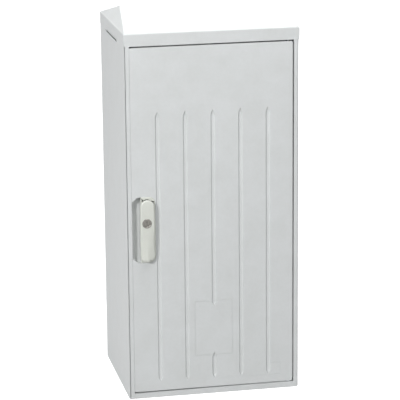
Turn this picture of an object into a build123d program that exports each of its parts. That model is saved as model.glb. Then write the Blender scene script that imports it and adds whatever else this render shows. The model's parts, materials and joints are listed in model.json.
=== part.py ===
from build123d import *
from math import atan, cos, pi, radians, sin, sqrt, tan
import os

# Roadside utility cabinet of hot-pressed glass-fibre polyester, with a fluted door on hidden pins and a swing handle
# that draws two rods through a rack and pinion.
# Millimetres. X to the right, Y to the back, Z up. The origin is the middle of the anchor-bolt pattern on the base.

os.makedirs("parts", exist_ok=True)

# Walls and roof
width = 500.0
depth = 408.0
wall_top = 1027.0
skin = 4.0
fit = 0.3
fascia_height = 36.0
roof_rise = 39.0
ridge_length = 436.0
ridge_offset = 47.0
ridge_flat = 4.0
eave_round = 3.0
corner_round = 7.0
back_corner_round = 5.0
back_return = 14.0
vent_start = -86.0
vent_length = 195.0
vent_height = 6.0

# Pads inside the walls take every screw, so that no screw shows outside
pad_thickness = 7.5
pad_width = 20.0
pad_height = 24.0
thread_depth = 6.5
screw_radius = 2.5
screw_head_radius = 4.6
screw_head_height = 2.8
hole_clearance = 0.1

# Front frame
shadow_groove = 6.0
stile_round = 2.5
frame_rib = 3.0
rail_height = 18.0
lip_depth = 28.0
left_lip = 12.0
hinge_lip = 36.5
top_lip = 14.0
bottom_lip = 15.0
jamb_depth = 54.0
overlap_lip = 14.0
upstand = 15.0

# Door
door_width = 467.0
door_bottom = 23.0
door_height = 999.5
door_gap = 2.0
door_corner = 7.0
door_edge_round = 4.0
return_depth = 14.0
gasket_depth = 5.0
rib_inset = 26.0
flute_pitch = 79.4
flute_count = 5
flute_width = 11.6
flute_depth = 3.0
flute_bottom = 45.0
flute_top = 838.0
flute_point = 14.0
flute_draft = 40.0
label_width = 108.0
label_bottom = 119.0
label_height = 161.0
label_depth = 1.0
plate_right = 195.0
plate_bottom = 43.0
plate_width = 52.0
plate_height = 36.0

# Door hinge
pin_inset = 14.0
pin_depth = 10.0
pin_radius = 3.5
pin_boss_radius = 8.0
pin_boss_height = 20.0
running_fit = 0.05
bush_wall = 2.0
bush_flange = 1.0
pin_head_radius = 5.5
collar_radius = 7.0
pin_head_height = 3.0
seat_gap = 0.3

# Handle recess and housing
recess_left = -230.5
recess_width = 63.0
recess_bottom = 405.0
recess_height = 205.0
recess_round = 18.0
recess_depth = 12.0
recess_wall = 3.0
housing_width = 41.0
housing_proud = 1.0
housing_wall = 2.5

# Lever
handle_x = -192.5
hub_height = 578.0
lever_width = 39.0
lever_length = 187.0
lever_gap = 0.5
lever_thickness = 14.5
lever_edge_round = 3.5
lift_pin_depth = 6.5
lift_pin_radius = 2.0
lift_angle = 20.0
ear_width = 10.0
ear_radius = 5.5
hub_radius = 13.0
hub_disc = 4.0
shaft_radius = 6.0
square_side = 8.0
stub_radius = 3.9
crest_height = 96.0
crest_drop = 7.0
lever_wall = 3.5

# Lock cylinder
cylinder_x = -194.5
cylinder_height = 524.0
rosette_radius = 13.5
rosette_proud = 1.5
barrel_radius = 11.0
plug_radius = 6.0
key_slot_width = 2.4
key_slot_length = 8.5
key_slot_depth = 7.0
tongue_reach = 11.0
tongue_thickness = 2.0
tail_side = 5.0

# Lock case, racks and rods
tooth_module = 1.25
tooth_count = 16
pressure_angle = 20.0
rack_addendum = 1.0
rack_backlash = 0.3
rack_width = 8.0
rack_thickness = 8.0
rack_teeth = 11
rod_depth = 39.0
rod_radius = 4.0
rod_reserve = 1.5
case_height = 76.0
case_wall = 2.0
case_floor = 2.7
cover_thickness = 2.0
bearing_wall = 4.0
guide_height = 60.0
guide_base = 4.0
guide_wall = 5.0
upper_guide_height = 898.0
lower_guide_height = 150.0

# Inside
base_leg = 5.0
base_height = 32.0
base_flange = 60.0
base_thickness = 6.0
anchor_spacing_x = 420.0
anchor_spacing_y = 300.0
anchor_hole_radius = 6.5
gland_thickness = 2.0
gland_overlap = 12.0
gland_hole_radius = 22.0
gland_spacing = 95.0
mounting_plate_width = 410.0
mounting_plate_height = 860.0
mounting_plate_bottom = 110.0
mounting_plate_thickness = 4.0
spacer_length = 28.7
spacer_radius = 7.0
stud_radius = 4.0
stud_inset = 15.0
rail_section_height = 30.0
rail_section_depth = 15.0
rail_sheet = 2.0
rail_y = 64.0
rail_z = 100.0

# Places worked out from the sizes above
front = -depth / 2
back = depth / 2
wall_inside = width / 2 - skin
pad_face = wall_inside - pad_thickness
opening_half = door_width / 2 + door_gap
lip_front = front + lip_depth
lip_back = lip_front + skin
jamb_back = front + jamb_depth
door_left = -door_width / 2
door_right = door_width / 2
door_top = door_bottom + door_height
rib_back = lip_front - seat_gap - gasket_depth
return_back = front + return_depth
rib_right = door_right - rib_inset
pin_x = door_right - pin_inset
pin_y = front + pin_depth
eave = wall_top + fascia_height
roof_top = eave + roof_rise
back_wall_outside = back - skin - fit
back_wall_inside = back_wall_outside - skin
base_back = back_wall_inside - pad_thickness
skin_back = front + skin
recess_floor = front + recess_depth
recess_back = recess_floor + recess_wall
housing_front = front - housing_proud
lever_back = housing_front - lever_gap
lever_front = lever_back - lever_thickness
lift_pin_y = lever_back - lift_pin_depth
lever_top = hub_height + lever_width / 2
lever_bottom = lever_top - lever_length
rod_y = front + rod_depth
pitch_radius = tooth_module * tooth_count / 2
rack_front = rod_y - rack_thickness / 2
rack_back = rod_y + rack_thickness / 2
case_front = rack_front - seat_gap - case_floor
cover_front = rack_back + 2 * seat_gap
cover_back = cover_front + cover_thickness
upper_rod_x = handle_x - pitch_radius - rack_width / 2
lower_rod_x = handle_x + pitch_radius + rack_width / 2

# Heights and places of the wall screws, as (y, z) on the side walls
frame_fixings = [(lip_back + pad_width / 2, z) for z in (120.0, 530.0, 940.0)]
back_fixings = [(back_wall_inside - pad_width / 2 - 1.7, z) for z in (130.0, 530.0, 930.0)]
base_fixings = [(-88.0, 20.0), (88.0, 20.0)]
roof_fixings = [(-128.0, 1005.0), (142.0, 1005.0)]
rail_fixings = [(rail_y, rail_z)]


def level(z):
    """Horizontal plane at height z."""
    return Plane.XY.offset(z)


def upright(y):
    """Plane parallel to the front, x and z in it, facing the front."""
    return Plane.XZ.offset(-y)


def sideways(x):
    """Plane parallel to the side walls, y and z in it, facing right."""
    return Plane.YZ.offset(x)


def facing(x, y, z, direction):
    """Plane at a point, facing along a direction."""
    return Plane(origin=(x, y, z), z_dir=direction)


def patch(low_a, high_a, low_b, high_b, mode=Mode.ADD):
    """Rectangle in a sketch, given by its edges."""
    with Locations(((low_a + high_a) / 2, (low_b + high_b) / 2)):
        Rectangle(high_a - low_a, high_b - low_b, mode=mode)


def bar(plane, low_a, high_a, low_b, high_b, amount, mode=Mode.ADD):
    """Rectangular bar standing on a plane."""
    with BuildSketch(plane) as section:
        patch(low_a, high_a, low_b, high_b)
    extrude(section.sketch, amount=amount, mode=mode)


def pin(plane, radius, amount, mode=Mode.ADD):
    """Round bar standing on a plane's origin."""
    with BuildSketch(plane) as section:
        Circle(radius)
    extrude(section.sketch, amount=amount, mode=mode)


def screw(seat, length, shank_radius=screw_radius, head_radius=screw_head_radius, head_height=screw_head_height):
    """Socket-head screw whose head stands on the seat plane."""
    pin(seat, head_radius, head_height)
    pin(seat, shank_radius, -length)
    with BuildSketch(seat.offset(head_height)) as socket:
        RegularPolygon(head_radius * 0.55, 6)
    extrude(socket.sketch, amount=-head_height * 0.6, mode=Mode.SUBTRACT)


def wall_pads(places):
    """Screw pads on the inside of the left wall, with blind holes."""
    for y, z in places:
        bar(sideways(-wall_inside), y - pad_width / 2, y + pad_width / 2,
            z - pad_height / 2, z + pad_height / 2, pad_thickness)
    for y, z in places:
        pin(facing(-pad_face, y, z, (-1, 0, 0)), screw_radius + hole_clearance, thread_depth + fit, Mode.SUBTRACT)


def wall_holes(places, inner_face):
    """Clearance holes through both sides of a piece that is screwed to the wall pads."""
    for side in (-1, 1):
        for y, z in places:
            seat = facing(side * inner_face, y, z, (side, 0, 0))
            pin(seat, screw_radius + hole_clearance, pad_face - inner_face, Mode.SUBTRACT)


def wall_screws(places, inner_face):
    """Screws through that piece into the pads of both walls."""
    for side in (-1, 1):
        for y, z in places:
            screw(facing(side * inner_face, y, z, (-side, 0, 0)), pad_face - inner_face + thread_depth)


# Left side wall: the front corner turns in behind the frame's face and leaves the shadow groove
tip_y = front + shadow_groove
turn = corner_round
turn_start = tip_y + sqrt(turn**2 - (turn - skin) ** 2)

with BuildPart() as left_side_wall:
    with BuildSketch(level(0)) as wall_plan:
        with BuildLine():
            Polyline((-width / 2, turn_start), (-width / 2, back), (-width / 2 + back_return, back),
                     (-width / 2 + back_return, back - skin), (-wall_inside, back - skin), (-wall_inside, tip_y))
            RadiusArc((-wall_inside, tip_y), (-width / 2, turn_start), turn)
        make_face()
        fillet(wall_plan.vertices().sort_by(Axis.X)[:2].sort_by(Axis.Y)[-1], back_corner_round)
    extrude(amount=wall_top)
    wall_pads(frame_fixings + back_fixings + base_fixings + roof_fixings + rail_fixings)
    with BuildSketch(sideways(-width / 2 - 1)) as vent:
        with Locations((vent_start + vent_length / 2, wall_top)):
            Rectangle(vent_length, 2 * vent_height)
        fillet(vent.vertices().group_by(Axis.Z)[0], vent_height / 3)
    extrude(vent.sketch, amount=skin + 2, mode=Mode.SUBTRACT)
left_side_wall.part.label = "left_side_wall"
export_step(left_side_wall.part, "parts/left_side_wall.step")

with BuildPart() as right_side_wall:
    mirror(left_side_wall.part, about=Plane.YZ)
right_side_wall.part.label = "right_side_wall"
export_step(right_side_wall.part, "parts/right_side_wall.step")

# Back wall: a tray with two flanges that are screwed to the side walls' pads
plate_bosses = [(side * (mounting_plate_width / 2 - stud_inset), z) for side in (-1, 1)
                for z in (mounting_plate_bottom + stud_inset,
                          mounting_plate_bottom + mounting_plate_height - stud_inset)]
boss_face = back_wall_inside - pad_thickness
base_back_screws = (-100.0, 100.0)
base_screw_height = base_fixings[0][1]

with BuildPart() as back_wall:
    bar(upright(back_wall_outside), -wall_inside + fit, wall_inside - fit, 0, wall_top + upstand, skin)
    for side in (-1, 1):
        outer, inner = sorted((side * pad_face, side * (pad_face - skin)))
        bar(upright(back_wall_inside), outer, inner, base_height + 14, wall_top - 40, pad_width + 4)
    wall_holes(back_fixings, pad_face - skin)
    for x, z in plate_bosses:
        pin(facing(x, back_wall_inside, z, (0, -1, 0)), 1.6 * spacer_radius, pad_thickness)
        pin(facing(x, boss_face, z, (0, 1, 0)), stud_radius + hole_clearance, thread_depth + fit, Mode.SUBTRACT)
    for x in base_back_screws:
        bar(upright(back_wall_inside), x - pad_height / 2, x + pad_height / 2, base_screw_height - pad_width / 2,
            base_screw_height + pad_width / 2, pad_thickness)
        pin(facing(x, base_back, base_screw_height, (0, 1, 0)), screw_radius + hole_clearance,
            thread_depth + fit, Mode.SUBTRACT)
back_wall.part.label = "back_wall"
export_step(back_wall.part, "parts/back_wall.step")

# Front frame: stiles and bottom rail at the front, jambs, ledges above and below the door, sealing lips behind it
with BuildPart() as front_frame:
    with BuildSketch(upright(skin_back)):
        patch(-wall_inside, wall_inside, 0, wall_top)
        patch(-opening_half, opening_half, rail_height, wall_top, Mode.SUBTRACT)
    extrude(amount=skin)
    outer_corners = front_frame.edges().filter_by(Axis.Z).group_by(Axis.Y)[0].sort_by(Axis.X)
    fillet([outer_corners[0], outer_corners[-1]], stile_round)
    for side in (-1, 1):
        low, high = sorted((side * opening_half, side * (opening_half + frame_rib)))
        bar(upright(lip_back), low, high, 0, wall_top, lip_back - skin_back)
        bar(upright(jamb_back), low, high, base_height + 14, wall_top, jamb_back - lip_back)
        low, high = sorted((side * wall_inside, side * (wall_inside - frame_rib)))
        bar(upright(front + overlap_lip), low, high, 0, wall_top, overlap_lip - skin)
    bar(upright(lip_back), -opening_half, opening_half, rail_height - frame_rib, rail_height, lip_back - skin_back)
    bar(upright(lip_back), -opening_half - frame_rib, opening_half + frame_rib, wall_top, wall_top + frame_rib,
        lip_back - skin_back - fit)
    with BuildSketch(upright(lip_back)):
        patch(-opening_half, opening_half, 0, wall_top)
        patch(-opening_half + left_lip, opening_half - hinge_lip, rail_height + bottom_lip, wall_top - top_lip,
              Mode.SUBTRACT)
    extrude(amount=skin)
    bar(upright(skin_back + fit + frame_rib), -opening_half, opening_half - hinge_lip, wall_top + frame_rib,
        wall_top + upstand, frame_rib)
    wall_holes(frame_fixings, opening_half)
    pin(facing(pin_x, pin_y, 0, (0, 0, 1)), pin_boss_radius, rail_height)
    pin(facing(pin_x, pin_y, frame_rib, (0, 0, 1)), pin_radius + running_fit, rail_height, Mode.SUBTRACT)
    pin(facing(pin_x, pin_y, wall_top, (0, 0, 1)), pin_radius + running_fit, frame_rib, Mode.SUBTRACT)
    for x in base_back_screws:
        pin(facing(x, lip_back, base_screw_height, (0, -1, 0)), screw_radius + hole_clearance, skin - fit,
            Mode.SUBTRACT)
    for x, z in ((upper_rod_x, wall_top - top_lip + 6.5), (lower_rod_x, rail_height + bottom_lip - 6.5)):
        for side in (-1, 1):
            pin(facing(x + side * 13, lip_back, z, (0, -1, 0)), 1.5 + hole_clearance, skin - fit, Mode.SUBTRACT)
front_frame.part.label = "front_frame"
export_step(front_frame.part, "parts/front_frame.step")

# Base frame: angle ring inside the walls, with the anchor holes in its flange
base_half = pad_face
gland_left = -base_half + base_flange - gland_overlap
gland_front = lip_back + base_flange - gland_overlap
gland_back = base_back - base_flange + gland_overlap
gland_middle = (gland_front + gland_back) / 2
gland_places = [(index * gland_spacing, gland_middle) for index in (-1, 0, 1)]
gland_screw_places = [(side * (gland_left + gland_overlap / 2), y) for side in (-1, 1)
                      for y in (gland_front + 20, gland_back - 20)]

with BuildPart() as base_frame:
    with BuildSketch(level(0)):
        patch(-base_half, base_half, lip_back, base_back)
        patch(-base_half + base_leg, base_half - base_leg, lip_back + base_leg, base_back - base_leg, Mode.SUBTRACT)
    extrude(amount=base_height)
    with BuildSketch(level(0)):
        patch(-base_half, base_half, lip_back, base_back)
        patch(-base_half + base_flange, base_half - base_flange, lip_back + base_flange, base_back - base_flange,
              Mode.SUBTRACT)
    extrude(amount=base_thickness)
    with BuildSketch(level(0)):
        with GridLocations(anchor_spacing_x, anchor_spacing_y, 2, 2):
            Circle(anchor_hole_radius)
    extrude(amount=base_thickness, mode=Mode.SUBTRACT)
    for x, y in gland_screw_places:
        pin(facing(x, y, 0, (0, 0, 1)), screw_radius + hole_clearance, base_thickness, Mode.SUBTRACT)
    bar(upright(lip_back + base_leg), lower_rod_x - 24, lower_rod_x + 24, base_thickness + 5, base_height,
        base_leg, Mode.SUBTRACT)
    wall_holes(base_fixings, base_half - base_leg)
    for x in base_back_screws:
        pin(facing(x, lip_back, base_screw_height, (0, 1, 0)), screw_radius + hole_clearance, base_leg, Mode.SUBTRACT)
        pin(facing(x, base_back, base_screw_height, (0, -1, 0)), screw_radius + hole_clearance, base_leg,
            Mode.SUBTRACT)
base_frame.part.label = "base_frame"
export_step(base_frame.part, "parts/base_frame.step")

# Gland plate on the base flange, with three cable holes
with BuildPart() as gland_plate:
    with BuildSketch(level(base_thickness)):
        patch(gland_left, -gland_left, gland_front, gland_back)
        with Locations(gland_places):
            Circle(gland_hole_radius, mode=Mode.SUBTRACT)
        with Locations(gland_screw_places):
            Circle(screw_radius + hole_clearance, mode=Mode.SUBTRACT)
    extrude(amount=gland_thickness)
gland_plate.part.label = "gland_plate"
export_step(gland_plate.part, "parts/gland_plate.step")

with BuildPart() as gland_plate_screws:
    for x, y in gland_screw_places:
        screw(facing(x, y, base_thickness + gland_thickness, (0, 0, 1)), base_thickness + gland_thickness - 1)
gland_plate_screws.part.label = "gland_plate_screws"
export_step(gland_plate_screws.part, "parts/gland_plate_screws.step")

# Rubber grommets with a groove that holds the plate's edge, closed by a membrane until a cable is put through
grommet_lip = 2.5
grommet_wall = 4.0
with BuildPart() as cable_grommets:
    for x, y in gland_places:
        lower_face = facing(x, y, base_thickness - grommet_lip, (0, 0, 1))
        upper_face = facing(x, y, base_thickness + gland_thickness, (0, 0, 1))
        pin(lower_face, gland_hole_radius + grommet_lip, grommet_lip)
        pin(lower_face, gland_hole_radius - hole_clearance, gland_thickness + 2 * grommet_lip)
        pin(upper_face, gland_hole_radius + grommet_lip, grommet_lip)
        pin(upper_face, gland_hole_radius - grommet_wall, grommet_lip, Mode.SUBTRACT)
cable_grommets.part.label = "cable_grommets"
export_step(cable_grommets.part, "parts/cable_grommets.step")

# Hipped roof: hollow moulding with two skirts that hang down behind the vent slots
roof_wall = skin
with BuildPart() as roof:
    # Sections from the fascia's foot over the rounded eave to the ridge
    for z, length, breadth, shift in (
        (wall_top, width, depth, 0),
        (eave - eave_round, width, depth, 0),
        (eave - eave_round * (1 - sin(pi / 4)), width - eave_round * 0.6, depth - eave_round * 0.6, 0),
        (eave, width - eave_round * 1.6, depth - eave_round * 1.6, 0),
        (roof_top, ridge_length, ridge_flat, ridge_offset),
    ):
        with BuildSketch(level(z)):
            with Locations((0, shift)):
                Rectangle(length, breadth)
    loft(ruled=True)
    with BuildSketch(level(wall_top)) as lower_hollow:
        Rectangle(width - 2 * roof_wall, depth - 2 * roof_wall)
    extrude(lower_hollow.sketch, amount=fascia_height - roof_wall, mode=Mode.SUBTRACT)
    with BuildSketch(level(eave - roof_wall)) as slope_hollow:
        Rectangle(width - 2 * roof_wall, depth - 2 * roof_wall)
    with BuildSketch(level(roof_top - roof_wall - 0.5)) as ridge_hollow:
        with Locations((0, ridge_offset)):
            Rectangle(ridge_length, ridge_flat)
    loft([slope_hollow.sketch.face(), ridge_hollow.sketch.face()], ruled=True, mode=Mode.SUBTRACT)
    for side in (-1, 1):
        low, high = sorted((side * pad_face, side * (pad_face - frame_rib)))
        bar(level(roof_fixings[0][1] - pad_height / 2), low, high, jamb_back + 2, back_wall_inside - pad_width - 8,
            wall_top + fascia_height + 9 - roof_fixings[0][1] + pad_height / 2)
    wall_holes(roof_fixings, pad_face - frame_rib)
roof.part.label = "roof"
export_step(roof.part, "parts/roof.step")

with BuildPart() as roof_screws:
    wall_screws(roof_fixings, pad_face - frame_rib)
roof_screws.part.label = "roof_screws"
export_step(roof_screws.part, "parts/roof_screws.step")

with BuildPart() as frame_screws:
    wall_screws(frame_fixings, opening_half)
frame_screws.part.label = "frame_screws"
export_step(frame_screws.part, "parts/frame_screws.step")

with BuildPart() as back_wall_screws:
    wall_screws(back_fixings, pad_face - skin)
back_wall_screws.part.label = "back_wall_screws"
export_step(back_wall_screws.part, "parts/back_wall_screws.step")

with BuildPart() as base_screws:
    wall_screws(base_fixings, base_half - base_leg)
    for x in base_back_screws:
        screw(facing(x, lip_back + base_leg, base_screw_height, (0, 1, 0)), base_leg + skin - 2 * fit)
        screw(facing(x, base_back - base_leg, base_screw_height, (0, -1, 0)), base_leg + thread_depth)
base_screws.part.label = "base_screws"
export_step(base_screws.part, "parts/base_screws.step")

# Mounting plate on four spacers
plate_back = boss_face - spacer_length
plate_front = plate_back - mounting_plate_thickness
nut_height = 6.5
nut_radius = 7.5

with BuildPart() as mounting_plate:
    with BuildSketch(upright(plate_back)):
        with Locations((0, mounting_plate_bottom + mounting_plate_height / 2)):
            RectangleRounded(mounting_plate_width, mounting_plate_height, 8)
        with Locations(plate_bosses):
            Circle(stud_radius + hole_clearance, mode=Mode.SUBTRACT)
    extrude(amount=mounting_plate_thickness)
mounting_plate.part.label = "mounting_plate"
export_step(mounting_plate.part, "parts/mounting_plate.step")

with BuildPart() as plate_spacers:
    for x, z in plate_bosses:
        pin(facing(x, boss_face, z, (0, -1, 0)), spacer_radius, spacer_length)
        pin(facing(x, boss_face, z, (0, 1, 0)), stud_radius, thread_depth)
        pin(facing(x, plate_back, z, (0, -1, 0)), stud_radius, mounting_plate_thickness + nut_height + 3)
plate_spacers.part.label = "plate_spacers"
export_step(plate_spacers.part, "parts/plate_spacers.step")

with BuildPart() as plate_nuts:
    with BuildSketch(upright(plate_front)):
        with Locations(plate_bosses):
            RegularPolygon(nut_radius, 6)
            Circle(stud_radius + hole_clearance, mode=Mode.SUBTRACT)
    extrude(amount=nut_height)
plate_nuts.part.label = "plate_nuts"
export_step(plate_nuts.part, "parts/plate_nuts.step")

# Cable rail: C section across the cabinet, on two angle brackets
bracket_sheet = 3.0
bracket_reach = 34.0
rail_back = rail_y + 14
rail_front = rail_back - rail_section_depth
rail_half = pad_face - bracket_sheet - 1
rail_screw_x = pad_face - bracket_sheet - bracket_reach / 2

with BuildPart() as cable_rail:
    with BuildSketch(sideways(-rail_half)):
        patch(rail_front, rail_back, rail_z - rail_section_height / 2, rail_z + rail_section_height / 2)
        patch(rail_front + rail_sheet, rail_back - rail_sheet, rail_z - rail_section_height / 2 + rail_sheet,
              rail_z + rail_section_height / 2 - rail_sheet, Mode.SUBTRACT)
        patch(rail_front, rail_front + rail_sheet, rail_z - rail_section_height / 4,
              rail_z + rail_section_height / 4, Mode.SUBTRACT)
    extrude(amount=2 * rail_half)
    for side in (-1, 1):
        pin(facing(side * rail_screw_x, rail_back, rail_z, (0, -1, 0)), screw_radius + hole_clearance, rail_sheet,
            Mode.SUBTRACT)
cable_rail.part.label = "cable_rail"
export_step(cable_rail.part, "parts/cable_rail.step")

with BuildPart() as cable_rail_brackets:
    for side in (-1, 1):
        low, high = sorted((side * pad_face, side * (pad_face - bracket_sheet)))
        bar(sideways(low), rail_y - 14, rail_back + bracket_sheet, rail_z - 16, rail_z + 16, bracket_sheet)
        low, high = sorted((side * (pad_face - bracket_sheet), side * (pad_face - bracket_sheet - bracket_reach)))
        bar(upright(rail_back + bracket_sheet), low, high, rail_z - 16, rail_z + 16, bracket_sheet)
        pin(facing(side * rail_screw_x, rail_back, rail_z, (0, 1, 0)), screw_radius + hole_clearance, bracket_sheet,
            Mode.SUBTRACT)
    wall_holes(rail_fixings, pad_face - bracket_sheet)
cable_rail_brackets.part.label = "cable_rail_brackets"
export_step(cable_rail_brackets.part, "parts/cable_rail_brackets.step")

with BuildPart() as cable_rail_screws:
    wall_screws(rail_fixings, pad_face - bracket_sheet)
    for side in (-1, 1):
        screw(facing(side * rail_screw_x, rail_back - rail_sheet, rail_z, (0, -1, 0)),
              rail_sheet + bracket_sheet + 2)
cable_rail_screws.part.label = "cable_rail_screws"
export_step(cable_rail_screws.part, "parts/cable_rail_screws.step")

# Keepers: wear plates on the back of the lips, behind which the rods shoot
keeper_thickness = 1.5
keeper_width = 40.0
keeper_height = 12.0
keeper_screw_spacing = 26.0
upper_keeper_z = wall_top - top_lip + 6.5
lower_keeper_z = rail_height + bottom_lip - 6.5


def keeper_shape(x, z):
    """One keeper plate with its two screw holes."""
    bar(upright(lip_back + keeper_thickness), x - keeper_width / 2, x + keeper_width / 2,
        z - keeper_height / 2, z + keeper_height / 2, keeper_thickness)
    for side in (-1, 1):
        pin(facing(x + side * keeper_screw_spacing / 2, lip_back, z, (0, 1, 0)), 1.5 + hole_clearance,
            keeper_thickness, Mode.SUBTRACT)


with BuildPart() as upper_keeper:
    keeper_shape(upper_rod_x, upper_keeper_z)
upper_keeper.part.label = "upper_keeper"
export_step(upper_keeper.part, "parts/upper_keeper.step")

with BuildPart() as lower_keeper:
    keeper_shape(lower_rod_x, lower_keeper_z)
lower_keeper.part.label = "lower_keeper"
export_step(lower_keeper.part, "parts/lower_keeper.step")

with BuildPart() as keeper_screws:
    for x, z in ((upper_rod_x, upper_keeper_z), (lower_rod_x, lower_keeper_z)):
        for side in (-1, 1):
            screw(facing(x + side * keeper_screw_spacing / 2, lip_back + keeper_thickness, z, (0, 1, 0)),
                  keeper_thickness + skin - 2 * fit, 1.5, 3, 1.8)
keeper_screws.part.label = "keeper_screws"
export_step(keeper_screws.part, "parts/keeper_screws.step")

# Hinge pins: the lower one stands in the bottom rail and carries the door on its collar, the upper one drops in
with BuildPart() as hinge_pin_lower:
    pin(facing(pin_x, pin_y, frame_rib + fit, (0, 0, 1)), pin_radius, door_bottom + pin_boss_height - frame_rib - 1)
    pin(facing(pin_x, pin_y, rail_height, (0, 0, 1)), collar_radius,
        door_bottom - bush_flange - seat_gap - rail_height)
hinge_pin_lower.part.label = "hinge_pin_lower"
export_step(hinge_pin_lower.part, "parts/hinge_pin_lower.step")

with BuildPart() as hinge_pin_upper:
    pin(facing(pin_x, pin_y, wall_top + frame_rib, (0, 0, 1)), pin_head_radius, pin_head_height)
    pin(facing(pin_x, pin_y, wall_top + frame_rib, (0, 0, -1)), pin_radius,
        wall_top + frame_rib - door_top + pin_boss_height - 1)
    chamfer(hinge_pin_upper.faces().sort_by(Axis.Z)[0].edges(), 1)
hinge_pin_upper.part.label = "hinge_pin_upper"
export_step(hinge_pin_upper.part, "parts/hinge_pin_upper.step")

# Door: a tray moulding with rounded edges, a sealing rib and shallow returns round the hinge
flute_places = [(index - (flute_count - 1) / 2) * flute_pitch for index in range(flute_count)]
recess_middle = (recess_left + recess_width / 2, recess_bottom + recess_height / 2)
into_door = Plane(origin=(0, front, 0), x_dir=(-1, 0, 0), z_dir=(0, 1, 0))


def flute_outline(x, low, high, half):
    """Long lens of a flute: straight sides and pointed ends."""
    Polygon((x - half, low + flute_point), (x, low), (x + half, low + flute_point),
            (x + half, high - flute_point), (x, high), (x - half, high - flute_point), align=None)


def flute_spans(x):
    """Lower and upper ends of each stretch: the middle flute stops at the label field."""
    if abs(x) < label_width / 2:
        return [(flute_bottom, label_bottom - 2), (label_bottom + label_height + 2, flute_top)]
    if plate_right - plate_width < x < plate_right:
        return [(plate_bottom + plate_height / 2, flute_top)]
    return [(flute_bottom, flute_top)]


with BuildPart() as door_panel:
    with BuildSketch(upright(return_back)):
        with Locations((0, door_bottom + door_height / 2)):
            RectangleRounded(door_width, door_height, door_corner)
    extrude(amount=return_depth)
    fillet(door_panel.faces().sort_by(Axis.Y)[0].edges(), door_edge_round)
    with BuildSketch(upright(rib_back)) as rib_outline:
        patch(door_left, rib_right, door_bottom, door_top)
        fillet(rib_outline.vertices().group_by(Axis.X)[0], door_corner)
    extrude(amount=rib_back - return_back)
    bar(upright(rib_back), door_left + skin, rib_right - skin, door_bottom + skin, door_top - skin,
        rib_back - skin_back, Mode.SUBTRACT)
    bar(upright(return_back), rib_right, door_right - skin, door_bottom + skin, door_top - skin,
        return_back - skin_back, Mode.SUBTRACT)
    # Beads behind the flutes keep the moulding's thickness
    for x in flute_places:
        for low, high in flute_spans(x):
            with BuildSketch(into_door.offset(skin - 0.5)) as bead:
                flute_outline(-x, low - 4, high + 4, flute_width / 2 + 2.5)
            extrude(bead.sketch, amount=flute_depth + 0.5, taper=flute_draft / 2)
            with BuildSketch(into_door) as flute:
                flute_outline(-x, low, high, flute_width / 2)
            extrude(flute.sketch, amount=flute_depth, taper=flute_draft, mode=Mode.SUBTRACT)
    # Bare label field and bare plate field
    with BuildSketch(upright(front)) as fields:
        with Locations((0, label_bottom + label_height / 2)):
            RectangleRounded(label_width, label_height, 3)
        with Locations((plate_right - plate_width / 2, plate_bottom + plate_height / 2)):
            RectangleRounded(plate_width, plate_height, 2)
    extrude(fields.sketch, amount=-label_depth, mode=Mode.SUBTRACT)
    # Recess for the handle, with its own walls behind the panel
    with BuildSketch(upright(recess_back)) as recess_shell:
        with Locations(recess_middle):
            RectangleRounded(recess_width + 2 * recess_wall, recess_height + 2 * recess_wall,
                             recess_round + recess_wall)
    extrude(recess_shell.sketch, amount=recess_back - skin_back)
    with BuildSketch(upright(recess_floor)) as recess_hollow:
        with Locations(recess_middle):
            RectangleRounded(recess_width, recess_height, recess_round)
    extrude(recess_hollow.sketch, amount=recess_depth + 1, mode=Mode.SUBTRACT)
    pin(facing(handle_x, recess_floor, hub_height, (0, 1, 0)), shaft_radius + 1, recess_wall, Mode.SUBTRACT)
    for z in (hub_height - 28, hub_height + 26):
        pin(facing(handle_x, recess_floor, z, (0, 1, 0)), 2 + hole_clearance, recess_wall, Mode.SUBTRACT)
    # Pads for the rod guides
    for x, z in ((upper_rod_x, upper_guide_height), (lower_rod_x, lower_guide_height)):
        bar(upright(skin_back + guide_base), x - 9, x + 9, z - guide_height / 2, z + guide_height / 2, guide_base)
        for side in (-1, 1):
            pin(facing(x, skin_back + guide_base, z + side * (guide_height / 2 - 8), (0, -1, 0)),
                2 + hole_clearance, thread_depth, Mode.SUBTRACT)
    # Bosses for the hinge bushes
    for z in (door_bottom, door_top - pin_boss_height):
        with BuildSketch(level(z)) as boss:
            with Locations((pin_x, pin_y)):
                Circle(pin_boss_radius)
            patch(pin_x - pin_boss_radius, pin_x + pin_boss_radius, skin_back - 1, pin_y)
        extrude(boss.sketch, amount=pin_boss_height)
        pin(facing(pin_x, pin_y, z, (0, 0, 1)), pin_radius + bush_wall + hole_clearance, pin_boss_height,
            Mode.SUBTRACT)
door_panel.part.label = "door_panel"
export_step(door_panel.part, "parts/door_panel.step")

with BuildPart() as door_gasket:
    with BuildSketch(upright(rib_back + gasket_depth)) as gasket_ring:
        patch(door_left, rib_right, door_bottom, door_top)
        fillet(gasket_ring.vertices().group_by(Axis.X)[0], door_corner)
        patch(door_left + skin, rib_right - skin, door_bottom + skin, door_top - skin, Mode.SUBTRACT)
    extrude(amount=gasket_depth)
door_gasket.part.label = "door_gasket"
export_step(door_gasket.part, "parts/door_gasket.step")

with BuildPart() as hinge_bushes:
    for z, outward in ((door_bottom, -1), (door_top, 1)):
        seat = facing(pin_x, pin_y, z, (0, 0, outward))
        pin(seat, collar_radius, bush_flange)
        pin(seat, pin_radius + bush_wall, -pin_boss_height)
        pin(seat.offset(bush_flange), pin_radius + running_fit, -pin_boss_height - bush_flange, Mode.SUBTRACT)
hinge_bushes.part.label = "hinge_bushes"
export_step(hinge_bushes.part, "parts/hinge_bushes.step")

# Handle housing: hollow block in the right part of the recess, with the hub's bearing
housing_right = recess_left + recess_width - fit
housing_left = housing_right - housing_width
case_screws = [(handle_x, hub_height - 28), (handle_x, hub_height + 26)]

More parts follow.
